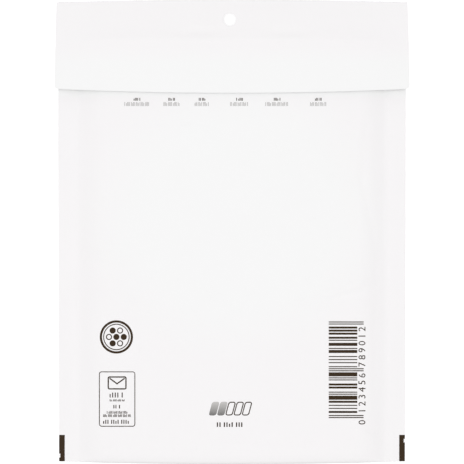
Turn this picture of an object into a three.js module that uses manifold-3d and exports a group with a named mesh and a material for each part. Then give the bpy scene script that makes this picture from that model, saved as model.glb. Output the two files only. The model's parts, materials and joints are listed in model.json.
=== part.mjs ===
// A padded mailing envelope, lying on its back with its flap folded over the front.
// One sheet of paper makes the pocket and the flap, a folded web of bubble film lines the
// pocket, and a self-seal strip with its release liner runs across under the flap.
// Millimetres, +Z up. X runs across the envelope and Y from its bottom fold to the flap's fold.
// The origin is on the surface that it lies on, under the middle of the envelope.

import * as THREE from 'three';
import { mergeVertices } from 'three/addons/utils/BufferGeometryUtils.js';
import Module from 'manifold-3d';

// Driving dimensions of the paper pocket
const paperThickness = 0.15;
const bodyWidthTop = 170.4;
const bodyWidthBottom = 169.2;
const sideLength = 224.6;
const topCrown = 1.2;
const bottomCrown = 1.4;
const paddedThickness = 7.2;
const sealWidth = 9.4;
const sealGlue = 0.1;
const sealGlueMargin = 0.4;
const shoulderWidth = 14;
const shoulderPower = 1.8;
const noseRatio = 1.9;
const mouthSetback = 14.8;
const mouthTaper = 5;

// Driving dimensions of the flap
const flapDepth = 42.6;
const flapBow = 2;
const flapOverhang = 0.7;
const flapFlare = 0.4;
const flapCornerLift = 0.8;
const flapCornerRadius = 1.5;
const creaseRadius = 0.3;
const rampGentleShare = 0.45;
const rampStepStart = 0.55;

// Hang hole through the flap and the back panel
const holeDiameter = 6;
const holeFromCrease = 9.9;
const holeFromMiddle = -1.2;

// Self-seal closure on the inner face of the flap
const adhesiveWidth = 12;
const adhesiveThickness = 0.1;
const releaseWidth = 17;
const releaseThickness = 0.1;
const closureFromEdge = 4;
const closureEndInset = 3;

// Bubble film liner
const bubblePitch = 13;
const bubbleTopDiameter = 8.6;
const filmThickness = 0.3;
const pocketGap = 0.5;
const linerBelowMouth = 2;

// Clearances between pieces that touch
const seatGap = 0.3;
const filmGap = 0.1;

// How finely the curved stretches are cut into facets
const shoulderSteps = 5;
const middleSteps = 3;
const noseSteps = 5;
const creaseSteps = 6;
const rampSteps = 6;
const straightSteps = 4;
const linerMiddleSkip = 6;
const roundSegments = 32;

// Sizes that follow from these
const bodyLength = sideLength + topCrown + bottomCrown;
const topY = bodyLength / 2;
const bottomY = -bodyLength / 2;
const halfWidth = (bodyWidthTop + bodyWidthBottom) / 4;
const paddedHalf = paddedThickness / 2;
const sealPlane = paddedHalf;
const sealHalf = paperThickness + sealGlue / 2;
const creaseOuterRadius = creaseRadius + paperThickness;
const rampEnd = mouthSetback + mouthTaper;
const closureStack = releaseThickness + adhesiveThickness + 3 * filmGap;
const flapRestHeight = paddedThickness + closureStack;
const flapRise = flapRestHeight - sealPlane - creaseRadius;
const flatInset = sealWidth + shoulderWidth;

const clamp = THREE.MathUtils.clamp;
const smoothstep = THREE.MathUtils.smoothstep;

// Outline: the body narrows towards the bottom, and its padding bows the folded ends outwards.
// The place across runs from -1 at the left edge to 1 at the right edge.
function halfWidthAt(y) {
  const share = (y - bottomY) / bodyLength;
  return THREE.MathUtils.lerp(bodyWidthBottom, bodyWidthTop, share) / 2;
}

function bottomEdge(across) {
  return bottomY + bottomCrown * across ** 2;
}

function topEdge(across) {
  return topY - topCrown * across ** 2;
}

// Padding: from nothing in the sealed margin up a rounded shoulder to its full thickness
function fullnessAt(inset) {
  const climb = clamp((inset - sealWidth) / shoulderWidth, 0, 1);
  return 1 - (1 - climb) ** shoulderPower;
}

// Flap: a gentle rise from the crease, then a step up onto the padding behind the mouth
function rampShare(distance) {
  const along = clamp((distance - creaseOuterRadius) / (rampEnd - creaseOuterRadius), 0, 1);
  const step = smoothstep(along, rampStepStart, 1);
  return rampGentleShare * along + (1 - rampGentleShare) * step;
}

function mouthDrop(distance) {
  return flapRise * (1 - rampShare(distance));
}

// Half the thickness of the paper pocket, outside, where it is full by the given share
function outerHalf(fullness, drop = 0) {
  return sealHalf + (paddedHalf - drop - sealHalf) * fullness;
}

// Lines that run the length of the sheet, from its left edge to its right edge
function makeColumns() {
  const edges = [0, closureEndInset, sealWidth];
  for (let step = 1; step <= shoulderSteps; step += 1) {
    edges.push(sealWidth + (shoulderWidth * step) / shoulderSteps);
  }
  const half = edges.map((inset) => ({ inset, share: 1 }));
  for (let step = middleSteps - 1; step >= 0; step -= 1) {
    half.push({ inset: flatInset, share: step / middleSteps });
  }
  const left = half.map((column) => ({ ...column, side: -1 }));
  const right = half.slice(0, -1).reverse().map((column) => ({ ...column, side: 1 }));
  return [...left, ...right].map((column) => ({
    ...column,
    across: column.side * column.share * (1 - column.inset / halfWidth),
    fullness: fullnessAt(column.inset),
  }));
}

function sheetPoint(column, y, z, widen = 0) {
  const half = halfWidthAt(y);
  const scale = (half + widen) / half;
  return [column.side * column.share * (half - column.inset) * scale, y, z];
}

// Inner face of the flap at a distance from the crease, measured along the side edges
function flapPoint(column, distance, lift) {
  const middleShare = 1 - column.across ** 2;
  const stretch = 1 + ((topCrown + flapBow) * middleShare) / flapDepth;
  const drawn = distance * stretch;
  const edgeward = smoothstep(Math.abs(column.across), 1 - flatInset / halfWidth, 1);
  const straightShare = (distance - creaseOuterRadius) / (flapDepth - creaseOuterRadius);
  const rise = THREE.MathUtils.lerp(rampShare(drawn), straightShare, edgeward);
  const curl = flapCornerLift * edgeward * straightShare ** 2;
  const z = sealPlane + creaseRadius + flapRise * rise + curl + lift;
  const widen = flapOverhang + flapFlare * straightShare;
  return sheetPoint(column, topEdge(column.across) - drawn, z, widen);
}

// Stops along the flap, from the crease to the free edge, shared with what is stuck to it
const releaseEnd = flapDepth - closureFromEdge;
const releaseStart = releaseEnd - releaseWidth;
const adhesiveMargin = (releaseWidth - adhesiveWidth) / 2;
const adhesiveStart = releaseStart + adhesiveMargin;
const adhesiveEnd = releaseEnd - adhesiveMargin;

function makeFlapStops() {
  const stops = [adhesiveStart, adhesiveEnd, releaseStart, releaseEnd, flapDepth];
  for (let step = 0; step <= rampSteps; step += 1) {
    stops.push(THREE.MathUtils.lerp(creaseOuterRadius, rampEnd, step / rampSteps));
  }
  stops.sort((a, b) => a - b);
  return stops.filter((stop, place) => place === 0 || stop - stops[place - 1] > filmGap);
}

const columns = makeColumns();
const flapStops = makeFlapStops();

// Rows of the paper sheet, in the order in which a finger would follow its outer face:
// up the flap, round the crease, down the back, round the bottom fold and up the front.
// Face 1 is the outer face and face 0 the inner one.
function flapRows() {
  return [...flapStops].reverse().map((stop) => (column, face) => (
    flapPoint(column, stop, face * paperThickness)
  ));
}

function creaseRows() {
  const rows = [];
  for (let step = 1; step <= creaseSteps; step += 1) {
    const angle = Math.PI * (0.5 - step / creaseSteps);
    rows.push((column, face) => {
      const radius = creaseRadius + face * paperThickness;
      const y = topEdge(column.across) - creaseOuterRadius + radius * Math.cos(angle);
      return sheetPoint(column, y, sealPlane + radius * Math.sin(angle), flapOverhang);
    });
  }
  return rows;
}

function backRows() {
  const rows = [];
  for (let step = 1; step <= straightSteps; step += 1) {
    const share = step / straightSteps;
    const distance = THREE.MathUtils.lerp(creaseOuterRadius, mouthSetback, share);
    rows.push((column, face) => {
      const swell = smoothstep(share, 0, 1);
      const half = THREE.MathUtils.lerp(creaseOuterRadius, outerHalf(column.fullness), swell);
      const z = sealPlane - half + (1 - face) * paperThickness;
      return sheetPoint(column, topEdge(column.across) - distance, z, flapOverhang * (1 - share));
    });
  }
  for (let step = 1; step < straightSteps; step += 1) {
    rows.push((column, face) => {
      const half = outerHalf(column.fullness);
      const start = topEdge(column.across) - mouthSetback;
      const end = bottomEdge(column.across) + noseRatio * half;
      const y = THREE.MathUtils.lerp(start, end, step / straightSteps);
      return sheetPoint(column, y, sealPlane - half + (1 - face) * paperThickness);
    });
  }
  return rows;
}

function bottomFoldRows() {
  const rows = [];
  for (let step = -noseSteps; step <= noseSteps; step += 1) {
    const angle = (Math.PI / 2) * (step / noseSteps);
    rows.push((column, face) => {
      const half = outerHalf(column.fullness);
      const sheet = (1 - face) * paperThickness;
      const reach = noseRatio * half;
      const y = bottomEdge(column.across) + reach - (reach - sheet) * Math.cos(angle);
      return sheetPoint(column, y, sealPlane + (half - sheet) * Math.sin(angle));
    });
  }
  return rows;
}

function frontPoint(column, y, face) {
  const drop = mouthDrop(topEdge(column.across) - y);
  const z = sealPlane + outerHalf(column.fullness, drop) - (1 - face) * paperThickness;
  return sheetPoint(column, y, z);
}

function frontRows() {
  const rows = [];
  for (let step = 1; step <= straightSteps; step += 1) {
    rows.push((column, face) => {
      const start = bottomEdge(column.across) + noseRatio * outerHalf(column.fullness);
      const end = topEdge(column.across) - rampEnd;
      return frontPoint(column, THREE.MathUtils.lerp(start, end, step / straightSteps), face);
    });
  }
  for (let step = 1; step <= straightSteps; step += 1) {
    const distance = THREE.MathUtils.lerp(rampEnd, mouthSetback, step / straightSteps);
    rows.push((column, face) => frontPoint(column, topEdge(column.across) - distance, face));
  }
  return rows;
}

// A closed solid from rows and columns of points on two faces, joined round their rim
function sheetSolid(rows, lines) {
  const positions = [];
  const index = [];
  for (const face of [1, 0]) {
    for (const row of rows) {
      lines.forEach((line) => positions.push(...row(line, face)));
    }
  }
  const at = (face, row, line) => ((1 - face) * rows.length + row) * lines.length + line;
  const quad = (a, b, c, d) => index.push(a, b, c, a, c, d);
  const lastRow = rows.length - 1;
  const lastLine = lines.length - 1;
  for (let row = 0; row < lastRow; row += 1) {
    for (let line = 0; line < lastLine; line += 1) {
      quad(at(1, row, line), at(1, row, line + 1), at(1, row + 1, line + 1), at(1, row + 1, line));
      quad(at(0, row, line), at(0, row + 1, line), at(0, row + 1, line + 1), at(0, row, line + 1));
    }
    quad(at(1, row, 0), at(1, row + 1, 0), at(0, row + 1, 0), at(0, row, 0));
    quad(at(1, row, lastLine), at(0, row, lastLine), at(0, row + 1, lastLine), at(1, row + 1, lastLine));
  }
  for (let line = 0; line < lastLine; line += 1) {
    quad(at(1, 0, line), at(0, 0, line), at(0, 0, line + 1), at(1, 0, line + 1));
    quad(at(1, lastRow, line), at(1, lastRow, line + 1), at(0, lastRow, line + 1), at(0, lastRow, line));
  }
  return solidGeometry(positions, index);
}

function solidGeometry(positions, index) {
  const geometry = new THREE.BufferGeometry();
  geometry.setAttribute('position', new THREE.Float32BufferAttribute(positions, 3));
  geometry.setIndex(index);
  return geometry;
}

// Cutting and joining of closed solids
const wasm = await Module();
wasm.setup();

function toManifold(geometry) {
  const bare = geometry.clone();
  bare.deleteAttribute('normal');
  bare.deleteAttribute('uv');
  const merged = mergeVertices(bare);
  return new wasm.Manifold(new wasm.Mesh({
    numProp: 3,
    vertProperties: new Float32Array(merged.attributes.position.array),
    triVerts: new Uint32Array(merged.index.array),
  }));
}

function toGeometry(manifold) {
  const mesh = manifold.getMesh();
  return solidGeometry(Array.from(mesh.vertProperties), Array.from(mesh.triVerts));
}

// The glue line that joins the two panels down one side, from the bottom fold to the mouth
function sealGlueSolid(side) {
  const bite = paperThickness / 3;
  const insets = side < 0 ? [sealGlueMargin, sealWidth] : [sealWidth, sealGlueMargin];
  const lines = insets.map((inset) => ({
    inset,
    side,
    share: 1,
    across: side * (1 - inset / halfWidth),
  }));
  const glueZ = (face) => sealPlane + (face - 0.5) * (sealGlue + 2 * bite);
  return sheetSolid([
    (line, face) => sheetPoint(line, bottomEdge(line.across) + paperThickness / 2, glueZ(face)),
    (line, face) => (
      sheetPoint(line, topEdge(line.across) - mouthSetback - sealGlueMargin, glueZ(face))
    ),
  ], lines);
}

// What is cut away to round one free corner of the flap
function flapCornerCutter(side) {
  const corner = flapPoint({ inset: 0, side, share: 1, across: side, fullness: 0 }, flapDepth, 0);
  const past = flapCornerRadius;
  const shape = new THREE.Shape();
  shape.moveTo(-flapCornerRadius, 0);
  shape.absarc(-flapCornerRadius, flapCornerRadius, flapCornerRadius, -Math.PI / 2, 0, false);
  shape.lineTo(past, flapCornerRadius);
  shape.lineTo(past, -past);
  shape.lineTo(-flapCornerRadius, -past);
  const geometry = new THREE.ExtrudeGeometry(shape, {
    depth: 2 * flapCornerLift + 2 * paddedHalf,
    bevelEnabled: false,
    curveSegments: 6,
  });
  if (side < 0) {
    geometry.rotateY(Math.PI);
    geometry.translate(0, 0, 2 * flapCornerLift + 2 * paddedHalf);
  }
  geometry.translate(corner[0], corner[1], corner[2] - paddedHalf);
  return geometry;
}

function hangHoleCutter() {
  const reach = 4 * paddedThickness;
  const geometry = new THREE.CylinderGeometry(holeDiameter / 2, holeDiameter / 2, reach, roundSegments);
  geometry.rotateX(Math.PI / 2);
  geometry.translate(holeFromMiddle, topY - holeFromCrease, sealPlane);
  return geometry;
}

// Paper: the folded sheet, its glued sides, its rounded flap corners and its hang hole
function paperEnvelope() {
  const rows = [
    ...flapRows(),
    ...creaseRows(),
    ...backRows(),
    ...bottomFoldRows(),
    ...frontRows(),
  ];
  let solid = toManifold(sheetSolid(rows, columns));
  for (const side of [-1, 1]) {
    solid = solid.add(toManifold(sealGlueSolid(side)));
    solid = solid.subtract(toManifold(flapCornerCutter(side)));
  }
  return toGeometry(solid.subtract(toManifold(hangHoleCutter())));
}

// A tape under the flap, between two stops, whose upper face lies the given depth below it
function flapTape(start, end, below, thickness) {
  const stops = flapStops.filter((stop) => stop > start - filmGap && stop < end + filmGap);
  const rows = stops.reverse().map((stop) => (column, face) => (
    flapPoint(column, stop, -below - (1 - face) * thickness)
  ));
  return sheetSolid(rows, columns.filter((column) => column.inset >= closureEndInset));
}

function adhesiveStrip() {
  return flapTape(adhesiveStart, adhesiveEnd, filmGap, adhesiveThickness);
}

function releaseLiner() {
  const below = 2 * filmGap + adhesiveThickness;
  return flapTape(releaseStart, releaseEnd, below, releaseThickness);
}

// Liner: how far in from the side edge the pocket has room for a crushed edge of the film
const paperAndGap = paperThickness + seatGap;
const edgeRoom = 2 * filmThickness;
const edgeFullness = (edgeRoom + paperAndGap + pocketGap / 2 - sealHalf) / (paddedHalf - sealHalf);
const linerInset = sealWidth + shoulderWidth * (1 - (1 - edgeFullness) ** (1 / shoulderPower));

// A point of the liner. Across runs from -1 to 1 between its side edges. Along runs from the
// mouth of the back layer at -1, round the bottom fold at 0, to the mouth of the front at 1.
// Height is measured out from the flat film, and null stands for the top of a bubble.
function linerPoint(across, along, height) {
  const inset = halfWidth - Math.abs(across) * (halfWidth - linerInset);
  const fullness = fullnessAt(inset);
  const place = across * (1 - linerInset / halfWidth);
  const noseHalf = outerHalf(fullness);
  const noseReach = noseRatio * noseHalf;
  const noseCentre = bottomEdge(place) + noseReach;
  const turn = (Math.PI / 2) * Math.hypot(noseReach - paperAndGap, noseHalf - paperAndGap) / Math.SQRT2;
  const mouth = topEdge(place) - mouthSetback - linerBelowMouth;
  const travel = Math.abs(along) * (turn + mouth - noseCentre);
  const angle = (Math.PI / 2) * Math.min(travel / turn, 1);
  const straight = Math.max(travel - turn, 0);
  const drop = along > 0 ? mouthDrop(topEdge(place) - noseCentre - straight) : 0;
  const room = outerHalf(fullness, drop) - paperAndGap - pocketGap / 2;
  const raised = height === null ? room : height;
  const reach = noseReach - paperAndGap - room + raised;
  const y = noseCentre + straight - reach * Math.cos(angle);
  const z = sealPlane + Math.sign(along) * (pocketGap / 2 + raised) * Math.sin(angle);
  return [across * (halfWidthAt(y) - linerInset), y, z];
}

// The film's bubbles stand in a honeycomb: rows of cells, each row shifted by half a cell from
// the last, with a flat-topped bubble on every whole cell.
function bubbleLiner() {
  const linerWidth = 2 * (halfWidth - linerInset);
  const linerLength = 2 * (bodyLength - mouthSetback - linerBelowMouth);
  const cellCount = Math.round(linerWidth / bubblePitch);
  const rowCount = 2 * Math.round(linerLength / (bubblePitch * Math.sqrt(3)));
  const cellWidth = 2 / cellCount;
  const rowHeight = 2 / rowCount;
  const bubbleShare = bubbleTopDiameter / bubblePitch;
  const positions = [];
  const index = [];

  function addPoint(across, along, height) {
    positions.push(...linerPoint(across, along, height));
    return positions.length / 3 - 1;
  }

  // Web of the film between the bubbles, zigzag except along the rims and the bottom fold
  const web = [];
  for (let row = 0; row <= rowCount; row += 1) {
    const straight = row === 0 || row === rowCount || row === rowCount / 2;
    const line = [];
    for (let half = 0; half <= 2 * cellCount; half += 1) {
      const inner = half > 0 && half < 2 * cellCount;
      const sway = straight || !inner ? 0 : ((row + half) % 2 === 0 ? 1 : -1) * rowHeight / 6;
      const across = -1 + half * (cellWidth / 2);
      line.push(addPoint(across, -1 + row * rowHeight + sway, filmThickness));
    }
    web.push(line);
  }

  function addBubble(row, start) {
    const low = web[row];
    const high = web[row + 1];
    const base = [
      low[start], low[start + 1], low[start + 2],
      high[start + 2], high[start + 1], high[start],
    ];
    const middleAcross = -1 + (start + 1) * (cellWidth / 2);
    const middleAlong = -1 + (row + 0.5) * rowHeight;
    const top = base.map((corner, place) => {
      const angle = (Math.PI / 3) * (place - 2.5);
      const across = middleAcross + bubbleShare * (cellWidth / Math.sqrt(3)) * Math.cos(angle);
      const along = middleAlong + bubbleShare * (rowHeight / 1.5) * Math.sin(angle);
      return addPoint(across, along, null);
    });
    base.forEach((corner, place) => {
      const next = (place + 1) % base.length;
      index.push(corner, base[next], top[next], corner, top[next], top[place]);
    });
    for (let place = 1; place < top.length - 1; place += 1) {
      index.push(top[0], top[place], top[place + 1]);
    }
  }

  for (let row = 0; row < rowCount; row += 1) {
    const shift = row % 2;
    for (let start = shift; start + 2 <= 2 * cellCount; start += 2) {
      addBubble(row, start);
    }
    if (shift === 1) {
      const low = web[row];
      const high = web[row + 1];
      for (const start of [0, 2 * cellCount - 1]) {
        index.push(low[start], low[start + 1], high[start + 1]);
        index.push(low[start], high[start + 1], high[start]);
      }
    }
  }

  // Flat film towards the contents, with lines close together only on the shoulders
  const flatHalves = [];
  for (let half = 0; half <= 2 * cellCount; half += 1) {
    const fromEdge = Math.min(half, 2 * cellCount - half);
    if (fromEdge <= 2 || (half - 2) % linerMiddleSkip === 0) {
      flatHalves.push(half);
    }
  }
  const flat = [];
  for (let row = 0; row <= rowCount; row += 1) {
    const along = -1 + row * rowHeight;
    flat.push(flatHalves.map((half) => addPoint(-1 + half * (cellWidth / 2), along, 0)));
  }
  for (let row = 0; row < rowCount; row += 1) {
    const low = flat[row];
    const high = flat[row + 1];
    for (let line = 0; line + 1 < low.length; line += 1) {
      index.push(low[line], high[line + 1], low[line + 1]);
      index.push(low[line], high[line], high[line + 1]);
    }
  }

  // Edges: down both sides, then across each mouth, where many web points meet few flat ones
  const lastFlat = flatHalves.length - 1;
  for (let row = 0; row < rowCount; row += 1) {
    const left = [web[row][0], web[row + 1][0], flat[row + 1][0], flat[row][0]];
    const right = [
      flat[row][lastFlat], flat[row + 1][lastFlat],
      web[row + 1][2 * cellCount], web[row][2 * cellCount],
    ];
    for (const [a, b, c, d] of [left, right]) {
      index.push(a, b, c, a, c, d);
    }
  }
  for (const row of [0, rowCount]) {
    const faces = [];
    for (let line = 0; line < lastFlat; line += 1) {
      const start = flatHalves[line];
      const end = flatHalves[line + 1];
      const turnAt = Math.floor((start + end) / 2);
      for (let half = start; half < end; half += 1) {
        const near = half < turnAt ? flat[row][line] : flat[row][line + 1];
        faces.push([web[row][half], near, web[row][half + 1]]);
      }
      faces.push([flat[row][line], flat[row][line + 1], web[row][turnAt]]);
    }
    faces.forEach(([a, b, c]) => index.push(...(row === 0 ? [a, b, c] : [a, c, b])));
  }
  return solidGeometry(positions, index);
}

// Materials
const whitePaper = new THREE.MeshStandardMaterial({ color: 0xf5f4f3, roughness: 0.85, metalness: 0 });
const clearFilm = new THREE.MeshStandardMaterial({ color: 0xdfe6ea, roughness: 0.25, metalness: 0 });
const adhesive = new THREE.MeshStandardMaterial({ color: 0xe9e2c8, roughness: 0.4, metalness: 0 });
const releasePaper = new THREE.MeshStandardMaterial({ color: 0xfaf8ee, roughness: 0.35, metalness: 0 });

function piece(name, geometry, material) {
  const mesh = new THREE.Mesh(geometry, material);
  mesh.name = name;
  return mesh;
}

const envelope = new THREE.Group();
envelope.name = 'padded_envelope';
envelope.add(piece('paper_envelope', paperEnvelope(), whitePaper));
envelope.add(piece('bubble_liner', bubbleLiner(), clearFilm));
envelope.add(piece('adhesive_strip', adhesiveStrip(), adhesive));
envelope.add(piece('release_liner', releaseLiner(), releasePaper));

export default envelope;
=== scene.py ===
"""Finished looks of a padded mailing envelope lying on its back, front up.

The paper is rebuilt as one fine folded sheet with its creases, the film liner with round
bubbles, the closure tapes with their finish, and the print as thin films of ink laid on
the front panel. All lengths are in metres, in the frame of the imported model.
"""

import json
import math
from functools import partial

import bmesh
import bpy
import numpy as np
from bpy.props import FloatProperty, FloatVectorProperty, PointerProperty
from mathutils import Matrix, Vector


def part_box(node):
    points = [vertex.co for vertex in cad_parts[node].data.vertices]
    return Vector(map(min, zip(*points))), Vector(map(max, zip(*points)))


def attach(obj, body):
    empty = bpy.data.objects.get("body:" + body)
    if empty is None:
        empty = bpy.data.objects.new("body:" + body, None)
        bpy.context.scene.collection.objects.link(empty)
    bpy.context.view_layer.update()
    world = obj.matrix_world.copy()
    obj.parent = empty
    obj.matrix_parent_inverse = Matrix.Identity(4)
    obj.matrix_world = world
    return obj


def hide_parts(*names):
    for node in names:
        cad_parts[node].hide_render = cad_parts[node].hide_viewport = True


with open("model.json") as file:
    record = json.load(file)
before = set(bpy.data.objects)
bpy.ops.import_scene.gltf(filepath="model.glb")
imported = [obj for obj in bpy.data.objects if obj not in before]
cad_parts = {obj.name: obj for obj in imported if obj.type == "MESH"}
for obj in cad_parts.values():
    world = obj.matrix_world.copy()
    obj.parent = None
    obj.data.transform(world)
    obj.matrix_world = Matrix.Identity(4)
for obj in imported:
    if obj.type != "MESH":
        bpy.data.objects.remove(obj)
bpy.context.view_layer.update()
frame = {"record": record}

bl_info = {
    "name": "Padded Envelope",
    "version": (1, 0, 0),
    "blender": (4, 5, 0),
    "location": "3D View > Sidebar > Envelope",
    "description": "Builds a padded mailing envelope, its print and a plain studio stage",
    "category": "Add Mesh",
}

MM = 0.001
PAPER_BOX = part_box("paper_envelope")
MOUNTS = {mount["name"]: mount for mount in frame["record"]["mounts"]}
PADDED_THICKNESS = MOUNTS["front_face"]["pos_m"][2]


def length(name, description, default):
    """A length property in metres, shown in scene units."""
    return FloatProperty(
        name=name, description=description, default=default, unit="LENGTH",
        subtype="DISTANCE", precision=5,
    )


def colour(name, description, default):
    """A colour property, scene linear."""
    return FloatVectorProperty(
        name=name, description=description, default=default, size=3, min=0.0, max=1.0,
        subtype="COLOR",
    )


class EnvelopePaperSizes(bpy.types.PropertyGroup):
    """Sizes of the folded sheet of paper."""

    paper: length("Paper", "Thickness of the paper", 0.15 * MM)
    width_top: length("Width at the top", "Body width at the flap's crease", 170.4 * MM)
    width_bottom: length("Width at the bottom", "Body width at the bottom fold", 169.2 * MM)
    top_crown: length("Top crown", "How far the crease bows out in the middle", 1.2 * MM)
    bottom_crown: length("Bottom crown", "How far the bottom fold bows out", 1.4 * MM)
    seal: length("Sealed margin", "Width of the flat margin down each side", 9.4 * MM)
    glue: length("Glue line", "Thickness of the glue between the two panels", 0.1 * MM)
    shoulder: length("Shoulder", "Width over which the padding comes up", 14 * MM)
    mouth_setback: length("Mouth setback", "Front panel's edge below the crease", 14.8 * MM)
    mouth_taper: length("Mouth taper", "Stretch over which the mouth is pressed down", 5 * MM)
    sag: length("Sag", "How far the front panel sinks under the flap", 2 * MM)
    sag_end: length("Sag's end", "Where the sag ends below the crease", 59 * MM)
    sag_run: length("Sag's run", "Stretch over which the sag fades out", 15 * MM)
    crease: length("Crease radius", "Inner radius of the flap's crease", 0.3 * MM)
    flap_depth: length("Flap depth", "Crease to free edge along the side", 42.6 * MM)
    flap_bow: length("Flap bow", "How much deeper the flap is in the middle", 2 * MM)
    flap_overhang: length("Flap overhang", "Flap beyond the body on each side", 0.7 * MM)
    flap_flare: length("Flap flare", "Further overhang at the free edge", 0.9 * MM)
    flap_dip: length("Flap dip", "How far the middle of the flap's edge sinks", 1.5 * MM)
    flap_lift: length("Corner lift", "Curl of the flap's free corners", -1.6 * MM)
    flap_corner: length("Corner radius", "Rounding of the flap's free corners", 1.5 * MM)
    closure_stack: length("Closure stack", "Room for the tapes under the flap", 0.5 * MM)
    hole: length("Hang hole", "Diameter of the hang hole", 6 * MM)
    hole_drop: length("Hole drop", "Hole's centre below the crease", 9.9 * MM)
    hole_offset: length("Hole offset", "Hole's centre from the middle", -1.2 * MM)
    relief: FloatProperty(
        name="Relief", description="Strength of the creases and dents in the paper",
        default=1.0, min=0.0, max=3.0,
    )


class EnvelopeLinerSizes(bpy.types.PropertyGroup):
    """Sizes of the bubble film and of the closure tapes."""

    film: length("Film", "Thickness of the flat film", 0.3 * MM)
    pitch: length("Bubble pitch", "Distance between bubbles along a row", 13 * MM)
    bubble: length("Bubble", "Diameter of a bubble at its foot", 10.4 * MM)
    pocket: length("Pocket", "Gap between the two layers of the liner", 0.5 * MM)
    gap: length("Gap", "Clearance between the paper and the bubbles", 0.5 * MM)
    below_mouth: length("Below the mouth", "Liner's edge below the front panel's", 2 * MM)
    adhesive: length("Adhesive width", "Width of the adhesive strip", 12 * MM)
    release: length("Release width", "Width of the release liner", 17 * MM)
    tape: length("Tape thickness", "Thickness of the adhesive and of its liner", 0.1 * MM)
    tape_gap: length("Tape gap", "Clearance between the tapes and the paper", 0.1 * MM)
    from_edge: length("From the edge", "Tapes in from the flap's free edge", 4 * MM)
    end_inset: length("End inset", "Tapes in from the flap's sides", 3 * MM)


class EnvelopeColours(bpy.types.PropertyGroup):
    """Colours of the paper, film, tapes and ink."""

    paper: colour("Paper", "White uncoated paper", (0.93, 0.915, 0.922))
    film: colour("Film", "Clear polyethylene film", (0.80, 0.86, 0.90))
    adhesive: colour("Adhesive", "Pale amber adhesive", (0.80, 0.72, 0.48))
    release: colour("Release liner", "Silicone-coated paper", (0.93, 0.91, 0.82))
    ink: colour("Ink", "Dark brown printing ink", (0.030, 0.015, 0.003))
    tint: colour("Tint", "Grey tint of the same ink", (0.42, 0.41, 0.40))


class EnvelopePrintSizes(bpy.types.PropertyGroup):
    """Places and sizes of the print on the front panel."""

    film: length("Ink film", "Thickness of the ink", 0.012 * MM)
    lift: length("Ink lift", "Ink's upper face above the paper", 0.03 * MM)
    bars_left: length("Barcode left", "Left ends of the bars", 47.1 * MM)
    bars_width: length("Bar length", "Length of a bar", 13.9 * MM)
    guard: length("Guard", "How much longer the guard bars are", 3.1 * MM)
    bars_bottom: length("Barcode bottom", "Lower end of the code", -90.6 * MM)
    module: length("Module", "Height of the narrowest bar", 0.495 * MM)
    digit: length("Digit height", "Height of the printed numbers", 3.4 * MM)
    ring_x: length("Ring X", "Centre of the round mark", -56.3 * MM)
    ring_y: length("Ring Y", "Centre of the round mark", -51.1 * MM)
    ring: length("Ring radius", "Outer radius of the round mark", 8.1 * MM)
    label_left: length("Label left", "Left side of the framed label", -64.6 * MM)
    label_right: length("Label right", "Right side of the framed label", -47.3 * MM)
    label_top: length("Label top", "Top of the framed label", -68.1 * MM)
    label_bottom: length("Label bottom", "Bottom of the framed label", -94.6 * MM)
    mark_width: length("Mark width", "Width of the register marks", 2.75 * MM)
    mark_height: length("Mark height", "Height of the register marks", 12.9 * MM)
    mark_bottom: length("Mark bottom", "Lower end of the register marks", -112.1 * MM)


class EnvelopeStageSizes(bpy.types.PropertyGroup):
    """Floor, lamps and camera."""

    floor: length("Floor", "Side of the floor", 4.0)
    camera_height: length("Camera height", "Camera above the sealed margins", 0.85)
    view_width: length("View width", "Width seen at the sealed margins", 226.9 * MM)
    world: FloatProperty(name="World", description="Strength of the even light", default=0.613)
    top_lamp: FloatProperty(name="Top lamp", description="Its power in watts", default=48.3)
    near_lamp: FloatProperty(name="Near lamp", description="Its power in watts", default=0.95)


def smoothstep(value, low=0.0, high=1.0):
    share = np.clip((value - low) / (high - low), 0.0, 1.0)
    return share * share * (3.0 - 2.0 * share)


def mix(a, b, share):
    return a + (b - a) * share


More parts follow.
